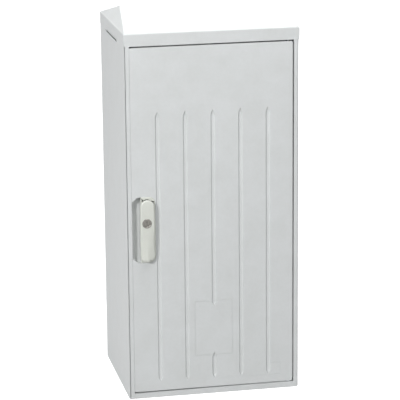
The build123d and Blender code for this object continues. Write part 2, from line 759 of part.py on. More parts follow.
with BuildPart() as handle_housing:
    with BuildSketch(upright(recess_floor)):
        with Locations(recess_middle):
            RectangleRounded(recess_width - 2 * fit, recess_height - 2 * fit, recess_round - fit)
        patch(recess_left - 1, housing_left, recess_bottom - 1, recess_bottom + recess_height + 1, Mode.SUBTRACT)
    extrude(amount=recess_floor - housing_front)
    chamfer(handle_housing.faces().sort_by(Axis.Y)[0].edges(), 0.8)
    bar(upright(recess_floor), housing_left + housing_wall, housing_right - housing_wall,
        recess_bottom + recess_round, hub_height - 36, recess_depth + housing_proud - housing_wall, Mode.SUBTRACT)
    pin(facing(handle_x, housing_front, hub_height, (0, 1, 0)), hub_radius + running_fit, hub_disc + 0.2,
        Mode.SUBTRACT)
    pin(facing(handle_x, housing_front, hub_height, (0, 1, 0)), shaft_radius + running_fit,
        recess_floor - housing_front, Mode.SUBTRACT)
    for x, z in case_screws:
        pin(facing(x, recess_floor, z, (0, -1, 0)), 2 + hole_clearance, 8, Mode.SUBTRACT)
handle_housing.part.label = "handle_housing"
export_step(handle_housing.part, "parts/handle_housing.step")

# Handle hub: disc with an ear in front, shaft, square for the pinion and stub with a clip groove behind
with BuildPart() as handle_hub:
    pin(facing(handle_x, housing_front, hub_height, (0, 1, 0)), hub_radius, hub_disc)
    pin(facing(handle_x, housing_front, hub_height, (0, 1, 0)), shaft_radius, rack_front - seat_gap - housing_front)
    with BuildSketch(facing(handle_x, rack_front - seat_gap, hub_height, (0, 1, 0))) as square_end:
        Rectangle(square_side, square_side)
    extrude(square_end.sketch, amount=rack_thickness + seat_gap)
    pin(facing(handle_x, rack_back, hub_height, (0, 1, 0)), stub_radius, cover_back + 2.5 - rack_back)
    with BuildSketch(facing(handle_x, cover_back + seat_gap, hub_height, (0, 1, 0))) as clip_groove:
        Circle(stub_radius + 0.1)
        Circle(stub_radius - 0.8, mode=Mode.SUBTRACT)
    extrude(clip_groove.sketch, amount=1.2, mode=Mode.SUBTRACT)
    with BuildSketch(sideways(handle_x - ear_width / 2)) as ear:
        with Locations((lift_pin_y, hub_height)):
            Circle(ear_radius)
        patch(lift_pin_y, housing_front, hub_height - ear_radius, hub_height + ear_radius)
        with Locations((lift_pin_y, hub_height)):
            Circle(lift_pin_radius + running_fit, mode=Mode.SUBTRACT)
    extrude(ear.sketch, amount=ear_width)
handle_hub.part.label = "handle_hub"
export_step(handle_hub.part, "parts/handle_hub.step")

# Pinion with involute teeth
base_radius = pitch_radius * cos(radians(pressure_angle))
tip_radius = pitch_radius + tooth_module
root_radius = pitch_radius - 1.25 * tooth_module


def involute_angle(radius):
    """Polar angle of the involute at a radius, from its start on the base circle."""
    if radius <= base_radius:
        return 0.0
    roll = sqrt((radius / base_radius) ** 2 - 1)
    return roll - atan(roll)


def pinion_outline():
    """Closed outline of the pinion, with a tooth on each side that meets a gap of the rack there."""
    half_tooth = (pi * tooth_module / 2 - rack_backlash / 2) / pitch_radius / 2
    start = half_tooth + involute_angle(pitch_radius)
    flank = [root_radius, base_radius, pitch_radius, (pitch_radius + tip_radius) / 2, tip_radius]
    points = []
    for index in range(tooth_count):
        middle = 2 * pi * index / tooth_count
        for radius in flank:
            angle = middle - (start - involute_angle(radius))
            points.append((radius * cos(angle), radius * sin(angle)))
        for radius in reversed(flank):
            angle = middle + (start - involute_angle(radius))
            points.append((radius * cos(angle), radius * sin(angle)))
    Polygon(*points, align=None)


with BuildPart() as lock_pinion:
    with BuildSketch(facing(handle_x, rack_back, hub_height, (0, -1, 0))):
        pinion_outline()
        Rectangle(square_side + 2 * hole_clearance, square_side + 2 * hole_clearance, mode=Mode.SUBTRACT)
    extrude(amount=rack_thickness)
lock_pinion.part.label = "lock_pinion"
export_step(lock_pinion.part, "parts/lock_pinion.step")

with BuildPart() as pinion_clip:
    with BuildSketch(facing(handle_x, cover_back + seat_gap + 0.1, hub_height, (0, 1, 0))):
        Circle(stub_radius + 2.4)
        Circle(stub_radius - 0.7, mode=Mode.SUBTRACT)
        with Locations((0, -stub_radius)):
            Rectangle(2 * stub_radius - 2.4, 2 * stub_radius, mode=Mode.SUBTRACT)
    extrude(amount=1.0)
pinion_clip.part.label = "pinion_clip"
export_step(pinion_clip.part, "parts/pinion_clip.step")


# Racks: straight-flanked teeth that face the pinion
def rack_shape(side, body_low, body_high, teeth_low):
    """Rack on one side of the pinion: side is -1 on the left and 1 on the right."""
    pitch_line = handle_x + side * pitch_radius
    back_edge = pitch_line + side * rack_width
    pitch = pi * tooth_module
    slope = tan(radians(pressure_angle))
    deep = 1.25 * tooth_module
    half_tip = pitch / 4 - rack_addendum * slope - rack_backlash / 4
    half_root = pitch / 4 + deep * slope - rack_backlash / 4
    with BuildSketch(upright(rack_back)) as profile:
        low, high = sorted((pitch_line + side * deep, back_edge))
        patch(low, high, body_low, body_high)
        for index in range(rack_teeth):
            z = teeth_low + index * pitch
            Polygon((pitch_line + side * deep, z - half_root), (pitch_line - side * rack_addendum, z - half_tip),
                    (pitch_line - side * rack_addendum, z + half_tip), (pitch_line + side * deep, z + half_root),
                    align=None)
    extrude(profile.sketch, amount=rack_thickness)


tooth_pitch = pi * tooth_module
rack_end = 34.0
with BuildPart() as upper_rack:
    rack_shape(-1, hub_height - 12, hub_height + rack_end, hub_height - 2.5 * tooth_pitch)
    pin(facing(upper_rod_x, rod_y, hub_height + rack_end, (0, 0, -1)), 2 + hole_clearance, 8, Mode.SUBTRACT)
upper_rack.part.label = "upper_rack"
export_step(upper_rack.part, "parts/upper_rack.step")

with BuildPart() as lower_rack:
    rack_shape(1, hub_height - rack_end, hub_height + 12, hub_height + 2.5 * tooth_pitch - (rack_teeth - 1)
               * tooth_pitch)
    pin(facing(lower_rod_x, rod_y, hub_height - rack_end, (0, 0, 1)), 2 + hole_clearance, 8, Mode.SUBTRACT)
lower_rack.part.label = "lower_rack"
export_step(lower_rack.part, "parts/lower_rack.step")

with BuildPart() as upper_rod:
    rod_end = wall_top - top_lip - rod_reserve
    pin(facing(upper_rod_x, rod_y, hub_height + rack_end, (0, 0, 1)), rod_radius, rod_end - hub_height - rack_end)
    pin(facing(upper_rod_x, rod_y, hub_height + rack_end, (0, 0, -1)), 2, 7)
    chamfer(upper_rod.faces().sort_by(Axis.Z)[-1].edges(), 1.2)
upper_rod.part.label = "upper_rod"
export_step(upper_rod.part, "parts/upper_rod.step")

with BuildPart() as lower_rod:
    rod_end = rail_height + bottom_lip + rod_reserve
    pin(facing(lower_rod_x, rod_y, hub_height - rack_end, (0, 0, -1)), rod_radius, hub_height - rack_end - rod_end)
    pin(facing(lower_rod_x, rod_y, hub_height - rack_end, (0, 0, 1)), 2, 7)
    chamfer(lower_rod.faces().sort_by(Axis.Z)[0].edges(), 1.2)
lower_rod.part.label = "lower_rod"
export_step(lower_rod.part, "parts/lower_rod.step")

# Lock case: tray open to the back, with the bearing tube and two screw pillars in front
case_left = handle_x - pitch_radius - rack_width - seat_gap - case_wall
case_right = handle_x + pitch_radius + rack_width + seat_gap + case_wall
case_bottom = hub_height - case_height / 2
case_top = hub_height + case_height / 2

with BuildPart() as lock_case:
    bar(upright(cover_front), case_left, case_right, case_bottom, case_top, cover_front - case_front)
    bar(upright(cover_front), case_left + case_wall, case_right - case_wall, case_bottom + case_wall,
        case_top - case_wall, cover_front - case_front - case_floor, Mode.SUBTRACT)
    pin(facing(handle_x, recess_back, hub_height, (0, 1, 0)), shaft_radius + bearing_wall, case_front - recess_back)
    for x, z in case_screws:
        pin(facing(x, recess_back, z, (0, 1, 0)), 5, cover_front - recess_back)
        pin(facing(x, recess_back, z, (0, 1, 0)), 2 + hole_clearance, cover_front - recess_back, Mode.SUBTRACT)
    pin(facing(handle_x, recess_back, hub_height, (0, 1, 0)), shaft_radius + running_fit,
        case_front + case_floor - recess_back, Mode.SUBTRACT)
    for x, z in ((upper_rod_x, case_top - case_wall), (lower_rod_x, case_bottom)):
        bar(level(z), x - rod_radius - seat_gap, x + rod_radius + seat_gap, rack_front - seat_gap, cover_front,
            case_wall, Mode.SUBTRACT)
lock_case.part.label = "lock_case"
export_step(lock_case.part, "parts/lock_case.step")

with BuildPart() as lock_case_cover:
    with BuildSketch(upright(cover_back)):
        patch(case_left, case_right, case_bottom, case_top)
        with Locations((handle_x, hub_height)):
            Circle(stub_radius + running_fit, mode=Mode.SUBTRACT)
        with Locations(case_screws):
            Circle(2 + hole_clearance, mode=Mode.SUBTRACT)
    extrude(amount=cover_thickness)
lock_case_cover.part.label = "lock_case_cover"
export_step(lock_case_cover.part, "parts/lock_case_cover.step")

with BuildPart() as lock_case_screws:
    for x, z in case_screws:
        screw(facing(x, cover_back, z, (0, 1, 0)), cover_back - recess_floor + 7, 2, 3.6, 2.4)
lock_case_screws.part.label = "lock_case_screws"
export_step(lock_case_screws.part, "parts/lock_case_screws.step")


# Rod guides: nylon brackets on the door's pads
def guide_shape(x, z):
    """Bracket with a foot on the door and an eye round the rod."""
    foot_front = skin_back + guide_base
    bar(upright(foot_front + guide_base), x - 9, x + 9, z - guide_height / 2, z + guide_height / 2, guide_base)
    with BuildSketch(level(z - 8)) as eye:
        with Locations((x, rod_y)):
            Circle(rod_radius + guide_wall)
        patch(x - 6, x + 6, foot_front + guide_base, rod_y)
        with Locations((x, rod_y)):
            Circle(rod_radius + running_fit, mode=Mode.SUBTRACT)
    extrude(eye.sketch, amount=16)
    for side in (-1, 1):
        pin(facing(x, foot_front, z + side * (guide_height / 2 - 8), (0, 1, 0)), 2 + hole_clearance, guide_base,
            Mode.SUBTRACT)


with BuildPart() as upper_rod_guide:
    guide_shape(upper_rod_x, upper_guide_height)
upper_rod_guide.part.label = "upper_rod_guide"
export_step(upper_rod_guide.part, "parts/upper_rod_guide.step")

with BuildPart() as lower_rod_guide:
    guide_shape(lower_rod_x, lower_guide_height)
lower_rod_guide.part.label = "lower_rod_guide"
export_step(lower_rod_guide.part, "parts/lower_rod_guide.step")

with BuildPart() as rod_guide_screws:
    for x, z in ((upper_rod_x, upper_guide_height), (lower_rod_x, lower_guide_height)):
        for side in (-1, 1):
            screw(facing(x, skin_back + 2 * guide_base, z + side * (guide_height / 2 - 8), (0, 1, 0)),
                  guide_base + thread_depth - fit, 2, 3.6, 2.4)
rod_guide_screws.part.label = "rod_guide_screws"
export_step(rod_guide_screws.part, "parts/rod_guide_screws.step")

# Lever: round-ended bar, hollow behind, with a crest on its grip and a slot for the hub's ear
lever_left = handle_x - lever_width / 2
lever_right = handle_x + lever_width / 2
hollow_top = hub_height - ear_radius - 14
back_slope = tan(radians(lift_angle + 2))

with BuildPart() as handle_lever:
    with BuildSketch(upright(lever_back)):
        with Locations((handle_x, (lever_top + lever_bottom) / 2)):
            RectangleRounded(lever_width, lever_length, lever_width / 2 - 0.1)
    extrude(amount=lever_thickness)
    fillet(handle_lever.faces().sort_by(Axis.Y)[0].edges(), lever_edge_round)
    # Two facets fall away from the crest towards the grip's end
    for side_x in (lever_left - 1, lever_right + 1):
        with BuildSketch(level(lever_bottom - 1)) as low_facet:
            Polygon((handle_x, lever_front), (side_x, lever_front), (side_x, lever_front + crest_drop), align=None)
        with BuildSketch(level(lever_bottom + crest_height)) as high_facet:
            Polygon((handle_x, lever_front - 0.5), (side_x, lever_front - 0.5), (side_x, lever_front - 0.1),
                    align=None)
        loft([low_facet.sketch.face(), high_facet.sketch.face()], ruled=True, mode=Mode.SUBTRACT)
    # The back of the head clears the housing when the lever lifts
    with BuildSketch(sideways(lever_left - 1)) as head_relief:
        rise = lever_top + 2 - hub_height
        Polygon((lever_back, hub_height), (lever_back + 1, hub_height), (lever_back + 1, hub_height + rise),
                (lever_back - rise * back_slope, hub_height + rise), align=None)
    extrude(head_relief.sketch, amount=lever_width + 2, mode=Mode.SUBTRACT)
    # Slot for the ear, with its pin bore
    bar(upright(lever_back), handle_x - ear_width / 2 - seat_gap, handle_x + ear_width / 2 + seat_gap,
        hub_height - ear_radius - 3, hub_height + ear_radius + 3, lift_pin_depth + ear_radius + 0.7, Mode.SUBTRACT)
    pin(facing(lever_right, lift_pin_y, hub_height, (-1, 0, 0)), lift_pin_radius + running_fit,
        lever_width - lever_wall, Mode.SUBTRACT)
    # Hollow behind the grip and bore for the lock cylinder
    with BuildSketch(upright(lever_back)) as lever_hollow:
        patch(lever_left + lever_wall, lever_right - lever_wall, lever_bottom + lever_width / 2, hollow_top)
        with Locations((handle_x, lever_bottom + lever_width / 2)):
            Circle(lever_width / 2 - lever_wall)
    extrude(lever_hollow.sketch, amount=lever_thickness - crest_drop - 1.5, mode=Mode.SUBTRACT)
    pin(facing(cylinder_x, lever_back, cylinder_height, (0, -1, 0)), barrel_radius + hole_clearance,
        lever_thickness, Mode.SUBTRACT)
handle_lever.part.label = "handle_lever"
export_step(handle_lever.part, "parts/handle_lever.step")

with BuildPart() as lever_pin:
    pin(facing(lever_right - 1, lift_pin_y, hub_height, (-1, 0, 0)), lift_pin_radius, lever_width - lever_wall - 1.5)
lever_pin.part.label = "lever_pin"
export_step(lever_pin.part, "parts/lever_pin.step")

# Lock cylinder with a proud rosette, its nut in the lever's hollow, and the plug with its tongue
hollow_floor = lever_back - (lever_thickness - crest_drop - 1.5)
nut_thickness = 2.0
barrel_back = hollow_floor + nut_thickness + 0.2
tongue_front = barrel_back + 0.2
tail_length = tongue_thickness + 0.4

with BuildPart() as lock_cylinder:
    pin(facing(cylinder_x, lever_front, cylinder_height, (0, -1, 0)), rosette_radius, rosette_proud)
    chamfer(lock_cylinder.faces().sort_by(Axis.Y)[0].edges(), 0.8)
    pin(facing(cylinder_x, lever_front, cylinder_height, (0, 1, 0)), barrel_radius, barrel_back - lever_front)
    pin(facing(cylinder_x, lever_front - rosette_proud, cylinder_height, (0, 1, 0)), plug_radius + running_fit,
        barrel_back - lever_front + rosette_proud, Mode.SUBTRACT)
lock_cylinder.part.label = "lock_cylinder"
export_step(lock_cylinder.part, "parts/lock_cylinder.step")

with BuildPart() as cylinder_nut:
    with BuildSketch(facing(cylinder_x, hollow_floor, cylinder_height, (0, 1, 0))):
        Circle(barrel_radius + 2.6)
        Circle(barrel_radius + hole_clearance, mode=Mode.SUBTRACT)
    extrude(amount=nut_thickness)
cylinder_nut.part.label = "cylinder_nut"
export_step(cylinder_nut.part, "parts/cylinder_nut.step")

with BuildPart() as cylinder_plug:
    plug_front = lever_front - rosette_proud + 0.4
    pin(facing(cylinder_x, plug_front, cylinder_height, (0, 1, 0)), plug_radius, tongue_front - plug_front)
    with BuildSketch(facing(cylinder_x, tongue_front, cylinder_height, (0, 1, 0))) as tail:
        Rectangle(tail_side, tail_side)
    extrude(tail.sketch, amount=tail_length)
    bar(upright(plug_front + key_slot_depth), cylinder_x - key_slot_width / 2, cylinder_x + key_slot_width / 2,
        cylinder_height - key_slot_length / 2, cylinder_height + key_slot_length / 2, key_slot_depth,
        Mode.SUBTRACT)
cylinder_plug.part.label = "cylinder_plug"
export_step(cylinder_plug.part, "parts/cylinder_plug.step")

with BuildPart() as lock_tongue:
    with BuildSketch(upright(tongue_front + tongue_thickness)):
        with Locations((cylinder_x, cylinder_height)):
            Circle(plug_radius)
        patch(cylinder_x - 3.5, cylinder_x + 3.5, cylinder_height - tongue_reach, cylinder_height)
        with Locations((cylinder_x, cylinder_height)):
            Rectangle(tail_side + 2 * hole_clearance, tail_side + 2 * hole_clearance, mode=Mode.SUBTRACT)
    extrude(amount=tongue_thickness)
lock_tongue.part.label = "lock_tongue"
export_step(lock_tongue.part, "parts/lock_tongue.step")
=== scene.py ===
# %% [markdown]
# A roadside utility cabinet of pressed glass-fibre polyester. The construction comes in as a fixed frame of solids
# in metres, with X to the right, Y to the back and Z up. Here each surface gets its finish, and the few pieces that
# show finer forms than their solids are made again as meshes.

# %% The frame
import math

import bmesh
import bpy
from mathutils import Matrix, Vector
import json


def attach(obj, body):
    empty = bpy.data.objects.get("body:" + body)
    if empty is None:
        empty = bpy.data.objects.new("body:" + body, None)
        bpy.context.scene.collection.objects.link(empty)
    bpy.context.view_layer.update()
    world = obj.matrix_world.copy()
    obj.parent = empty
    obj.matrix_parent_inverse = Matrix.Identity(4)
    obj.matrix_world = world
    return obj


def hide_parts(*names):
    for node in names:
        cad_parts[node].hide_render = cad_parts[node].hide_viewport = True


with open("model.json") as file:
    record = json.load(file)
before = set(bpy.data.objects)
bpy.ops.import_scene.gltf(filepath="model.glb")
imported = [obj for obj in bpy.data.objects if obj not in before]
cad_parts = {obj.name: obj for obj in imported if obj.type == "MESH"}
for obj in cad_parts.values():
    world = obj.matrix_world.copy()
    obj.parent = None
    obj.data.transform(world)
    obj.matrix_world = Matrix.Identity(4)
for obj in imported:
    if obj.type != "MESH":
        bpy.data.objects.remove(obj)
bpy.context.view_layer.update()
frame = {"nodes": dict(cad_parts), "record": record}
MM = 0.001
scene = bpy.context.scene

# %% [markdown]
# Colours are picked as sRGB hex values, as a paint card or a picture editor gives them. A shader works on linear
# light, so one function turns them. Pattern sizes are given in millimetres and turned to a noise scale.

# %% Colour and node helpers
def colour(hexa):
    """Linear colour with alpha from an sRGB hex value."""
    parts = [int(hexa[i:i + 2], 16) / 255 for i in (1, 3, 5)]
    linear = [p / 12.92 if p <= 0.04045 else ((p + 0.055) / 1.055) ** 2.4 for p in parts]
    return (*linear, 1.0)


def per_mm(size):
    """Noise scale whose blobs are about this many millimetres wide."""
    return 1000.0 / size


def node(tree, kind, settings=None, **links):
    """Add a node, set its properties and sockets, and link what is given as a socket."""
    made = tree.nodes.new(kind)
    for name, value in (settings or {}).items():
        setattr(made, name, value)
    for name, value in links.items():
        socket = made.inputs[int(name[1:]) if name[1:].isdigit() else name.replace("_", " ")]
        if isinstance(value, bpy.types.NodeSocket):
            tree.links.new(value, socket)
        else:
            socket.default_value = value
    return made


def new_material(name):
    """Empty node material with its output and object coordinates."""
    material = bpy.data.materials.new(name)
    material.use_nodes = True
    tree = material.node_tree
    tree.nodes.clear()
    output = node(tree, "ShaderNodeOutputMaterial")
    place = node(tree, "ShaderNodeTexCoord").outputs["Object"]
    return material, tree, output, place


# %% [markdown]
# The cabinet is hot-pressed polyester with chopped glass in it. The press leaves a satin skin: no gloss paint, a
# very slight cloudiness where the resin flowed, and a fine orange-peel texture from the blasted mould. The cloudiness
# is a mix of two near greys over a few centimetres, and the texture is a small bump of about a millimetre. The real
# grain is finer than a pixel here, so it is drawn a little coarser to show at all.

# %% Pressed polyester
def pressed_polyester(name, light, dark, roughness, grain_mm=1.4, cloud_mm=60.0, grain_height=0.00006):
    """Satin moulded polyester: clouded grey with a fine mould texture."""
    material, tree, output, place = new_material(name)
    cloud = node(tree, "ShaderNodeTexNoise", Vector=place, Scale=per_mm(cloud_mm), Detail=3.0, Roughness=0.55)
    flow = node(tree, "ShaderNodeTexNoise", Vector=place, Scale=per_mm(grain_mm * 6), Detail=2.0)
    blend = node(tree, "ShaderNodeMath", {"operation": "MULTIPLY_ADD"}, _0=flow.outputs["Fac"], _1=0.35,
                 _2=cloud.outputs["Fac"])
    spread = node(tree, "ShaderNodeMapRange", Value=blend.outputs[0], From_Min=0.42, From_Max=0.95)
    tone = node(tree, "ShaderNodeMix", {"data_type": "RGBA"}, Factor=spread.outputs[0], _6=colour(dark),
                _7=colour(light))
    sheen_change = node(tree, "ShaderNodeMapRange", Value=cloud.outputs["Fac"], From_Min=0.3, From_Max=0.7,
                        To_Min=roughness - 0.04, To_Max=roughness + 0.04)
    grain = node(tree, "ShaderNodeTexNoise", Vector=place, Scale=per_mm(grain_mm), Detail=2.0, Roughness=0.6)
    texture = node(tree, "ShaderNodeBump", Height=grain.outputs["Fac"], Distance=grain_height, Strength=0.6)
    shader = node(tree, "ShaderNodeBsdfPrincipled", Base_Color=tone.outputs[2], Roughness=sheen_change.outputs[0],
                  IOR=1.5, Normal=texture.outputs[0])
    tree.links.new(shader.outputs[0], output.inputs["Surface"])
    return material


body_grey = pressed_polyester("pressed_polyester", "#d7d9d9", "#d0d2d1", 0.5)
handle_grey = pressed_polyester("moulded_polyamide", "#d9dbd3", "#d4d6ce", 0.38, grain_mm=0.9, cloud_mm=30.0)
print("made", body_grey.name, handle_grey.name)

# %% [markdown]
# Most metal parts are zinc in three forms. Galvanised sheet shows spangle, crystals a centimetre or so wide in
# slightly different greys, which a Voronoi pattern gives. Bright zinc plating on screws, pins and rods is smoother
# and a touch blue. Die-cast zinc is dull and grainy. The lock is nickel-plated brass. Its grey is painted darker and
# warmer than the plating is, as painted shade for its dished front, because its glossy rays see only white.

# %% Metal finishes
def galvanised_sheet(name, light, dark, spangle_mm):
    """Hot-dip galvanised steel with its crystals."""
    material, tree, output, place = new_material(name)
    spangle = node(tree, "ShaderNodeTexVoronoi", Vector=place, Scale=per_mm(spangle_mm))
    grey = node(tree, "ShaderNodeSeparateColor", Color=spangle.outputs["Color"])
    tone = node(tree, "ShaderNodeMix", {"data_type": "RGBA"}, Factor=grey.outputs[0], _6=colour(dark),
                _7=colour(light))
    dull = node(tree, "ShaderNodeMapRange", Value=grey.outputs[1], To_Min=0.38, To_Max=0.55)
    shader = node(tree, "ShaderNodeBsdfPrincipled", Base_Color=tone.outputs[2], Roughness=dull.outputs[0],
                  Metallic=1.0)
    tree.links.new(shader.outputs[0], output.inputs["Surface"])
    return material


def plated_metal(name, light, dark, roughness, grain_mm, depth):
    """Plated or cast metal with a fine uneven surface."""
    material, tree, output, place = new_material(name)
    grain = node(tree, "ShaderNodeTexNoise", Vector=place, Scale=per_mm(grain_mm), Detail=3.0)
    tone = node(tree, "ShaderNodeMix", {"data_type": "RGBA"}, Factor=grain.outputs["Fac"], _6=colour(dark),
                _7=colour(light))
    dull = node(tree, "ShaderNodeMapRange", Value=grain.outputs["Fac"], To_Min=roughness - 0.06,
                To_Max=roughness + 0.08)
    texture = node(tree, "ShaderNodeBump", Height=grain.outputs["Fac"], Distance=depth, Strength=0.5)
    shader = node(tree, "ShaderNodeBsdfPrincipled", Base_Color=tone.outputs[2], Roughness=dull.outputs[0],
                  Metallic=1.0, Normal=texture.outputs[0])
    tree.links.new(shader.outputs[0], output.inputs["Surface"])
    return material


galvanised = galvanised_sheet("galvanised_steel", "#c4c8cb", "#a9adb1", 9.0)
zinc_plated = plated_metal("bright_zinc_plating", "#d0d4d8", "#b9bdc2", 0.28, 2.0, 0.00002)
cast_zinc = plated_metal("die_cast_zinc", "#a9a9a7", "#8f8f8d", 0.45, 1.0, 0.00005)
# painted shade: the lock's grey is darkened to stand in for the shade in its dished front
lock_metal = plated_metal("nickel_plated_brass_painted_shade", "#8f8d88", "#6e6c67", 0.32, 3.0, 0.00001)
print("made", galvanised.name, zinc_plated.name, cast_zinc.name, lock_metal.name)

# %% [markdown]
# The rest are black EPDM rubber, black polyamide and a pressed laminate plate. Each is a near-plain colour with its
# own grain and dullness.

# %% Rubber, polyamide and laminate
def plain_moulding(name, light, dark, roughness, grain_mm, ior, depth=0.00004):
    """Plain moulded material with a slight change of tone and a fine grain."""
    material, tree, output, place = new_material(name)
    grain = node(tree, "ShaderNodeTexNoise", Vector=place, Scale=per_mm(grain_mm), Detail=4.0)
    tone = node(tree, "ShaderNodeMix", {"data_type": "RGBA"}, Factor=grain.outputs["Fac"], _6=colour(dark),
                _7=colour(light))
    texture = node(tree, "ShaderNodeBump", Height=grain.outputs["Fac"], Distance=depth, Strength=0.6)
    shader = node(tree, "ShaderNodeBsdfPrincipled", Base_Color=tone.outputs[2], Roughness=roughness, IOR=ior,
                  Normal=texture.outputs[0])
    tree.links.new(shader.outputs[0], output.inputs["Surface"])
    return material


rubber = plain_moulding("epdm_rubber", "#232323", "#191919", 0.62, 0.8, 1.52)
black_polyamide = plain_moulding("black_polyamide", "#2a2a2b", "#212122", 0.45, 2.0, 1.53)
laminate = plain_moulding("pressed_laminate", "#d6cfbd", "#cbc3b0", 0.5, 5.0, 1.5)
finish_of_slot = {
    "polyester": body_grey, "handle_plastic": handle_grey, "galvanised": galvanised, "zinc_plated": zinc_plated,
    "cast_zinc": cast_zinc, "lock_metal": lock_metal, "rubber": rubber, "nylon": black_polyamide,
    "laminate": laminate,
}

# %% Finishes on the construction
slot_of_node = {row["node"]: row["material_slot"] for row in frame["record"]["subparts"]}
for name, slot in slot_of_node.items():
    shown = frame["nodes"][name]
    shown.data.materials.clear()
    shown.data.materials.append(finish_of_slot[slot])
print("finished nodes:", len(slot_of_node))

# %% [markdown]
# Some mouldings show finer forms than their solids: sunk lines round the bare fields, crisp door edges, and the shadow
# groove at the left corner. Each is made again here as a mesh. It starts from the faces of its solid, joined into one
# skin, gets its edges moved and its lines cut, and then stands in for that solid. All lengths here are millimetres.

# %% Tools for the moulded skins
FRONT = -204.0  # depth of the door's face
NEAR = 0.05  # how close to a place a point counts as lying there
MERGE_DISTANCE = 0.002 * MM
NO_LENGTH = 0.001 * MM
SHARP_FROM = math.radians(28)
CUTTER_START = 1.0  # how far a cutter begins in front of the face it cuts


def skin_of(source):
    """One joined skin with the faces of a construction solid."""
    solid = frame["nodes"][source]
    shape = bmesh.new()
    shape.from_mesh(solid.data)
    shape.transform(solid.matrix_world)
    bmesh.ops.remove_doubles(shape, verts=shape.verts, dist=MERGE_DISTANCE)
    return shape


def move_points(shape, chosen, moved):
    """Move the points that chosen picks to where moved puts them, and count them."""
    count = 0
    for point in shape.verts:
        x, y, z = point.co / MM
        if chosen(x, y, z):
            point.co = Vector(moved(x, y, z)) * MM
            count += 1
    return count


def as_object(name, shape):
    """Object made from a finished bmesh shape."""
    mesh = bpy.data.meshes.new(name)
    shape.to_mesh(mesh)
    shape.free()
    made = bpy.data.objects.new(name, mesh)
    scene.collection.objects.link(made)
    return made


def cut_away(piece, cutter):
    """Cut one object out of another and drop the cutter."""
    cutting = piece.modifiers.new("cut", "BOOLEAN")
    cutting.operation = "DIFFERENCE"
    cutting.solver = "EXACT"
    cutting.object = cutter
    cut_mesh = bpy.data.meshes.new_from_object(piece.evaluated_get(bpy.context.evaluated_depsgraph_get()))
    piece.modifiers.clear()
    piece.data = cut_mesh
    print("cut:", cutter.name, "faces left:", len(cut_mesh.polygons))
    bpy.data.objects.remove(cutter)


def add_prism(shape, low_ring, high_ring):
    """Closed solid between two rings of points."""
    low = [shape.verts.new(Vector(p) * MM) for p in low_ring]
    high = [shape.verts.new(Vector(p) * MM) for p in high_ring]
    faces = [shape.faces.new(low), shape.faces.new(high)]
    for i in range(len(low)):
        j = (i + 1) % len(low)
        faces.append(shape.faces.new((low[i], low[j], high[j], high[i])))
    bmesh.ops.recalc_face_normals(shape, faces=faces)


def add_block(shape, low, high):
    """Closed box between two corners."""
    (x0, y0, z0), (x1, y1, z1) = low, high
    add_prism(shape, [(x0, y0, z0), (x1, y0, z0), (x1, y1, z0), (x0, y1, z0)],
              [(x0, y0, z1), (x1, y0, z1), (x1, y1, z1), (x0, y1, z1)])


def add_ring(shape, outer, inner, front, behind):
    """Closed rectangular ring between two depths; outer and inner are left, right, low and high."""
    loops = []
    for left, right, low, high in (outer, inner):
        for y in (front, behind):
            corners = ((left, y, low), (right, y, low), (right, y, high), (left, y, high))
            loops.append([shape.verts.new(Vector(p) * MM) for p in corners])
    outer_front, outer_back, inner_front, inner_back = loops
    faces = []
    for i in range(4):
        j = (i + 1) % 4
        for a, b in ((outer_front, inner_front), (outer_back, inner_back), (outer_front, outer_back),
                     (inner_front, inner_back)):
            faces.append(shape.faces.new((a[i], a[j], b[j], b[i])))
    bmesh.ops.recalc_face_normals(shape, faces=faces)


def finish_skin(piece, source, body, smooth):
    """Shade a skin flat or smoothly between its sharp edges, dress it, and let it stand in for its solid."""
    if smooth:
        piece.data.shade_smooth()
        piece.data.set_sharp_from_angle(angle=SHARP_FROM)
    else:
        piece.data.shade_flat()
    piece.data.materials.clear()
    piece.data.materials.append(finish_of_slot[slot_of_node[source]])
    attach(piece, body)
    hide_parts(source)
    print(piece.name, "points:", len(piece.data.vertices))


# %% [markdown]
# The door. The rounding of its left, top and bottom edges shrinks to under a millimetre, and the hinge side on the
# right keeps the solid's, because it swings past the frame there. The two bare fields are lifted level with the face
# and get a sunk line round them. The outer flute runs on past the small field, and the middle flute stops just inside
# the large one and goes on below it. The handle's recess gets a lower top and a deeper floor.

# %% Door skin
EDGE_OLD, EDGE_NEW = 4.0, 0.8  # radius of the rounding, on the solid and here
DOOR_OLD = (-233.5, 233.5, 23.0, 1022.5)  # left, right, low, high, like each rectangle below
DOOR_NEW = (-234.7, 232.5, 20.0, 1022.5)
DOOR_MIDDLE = 500.0  # height that parts the low edge's points from the high edge's
SUNK_FIELDS = ((-54.3, 54.3, 118.5, 280.5), (142.5, 195.5, 42.5, 79.5))
FIELD_DEPTH, FIELD_NEAR = 1.0, 0.1
LABEL = (-55.75, 52.75, 117.0, 280.0)
PLATE = (158.8, 195.0, 44.0, 79.0)
LINE_WIDTH, LINE_DEPTH = 2.4, 1.0
FOOT_LINE, FOOT_LINE_DEPTH = (10.0, 157.0, 43.0, 45.0), 0.5
FLUTE_HALF, FLUTE_DEPTH, FLUTE_POINT, FLUTE_SLOPE = 6.3, 3.4, 14.0, math.tan(math.radians(38))
FLUTE_START = 0.5  # how far the flutes' cutters begin in front of the face
FLUTE_LOW, FLUTE_HIGH = 45.0, 840.0
OUTER_FLUTES = (-158.8, -79.4, 79.4, 158.8)
FLUTE_BREAK = (126.0, 262.0)  # the middle flute leaves this stretch out for the large field
RECESS_LEFT = -234.2
RECESS_LOWERED, RECESS_DEEPENED = 13.0, 5.0


def drawn_in(value, old, new, inward, shrink=EDGE_NEW / EDGE_OLD):
    """Place of a point near an edge when the edge moves and its rounding shrinks."""
    distance = (value - old) * inward
    if distance > EDGE_OLD + NEAR:
        return value
    return new + inward * max(distance, 0.0) * shrink


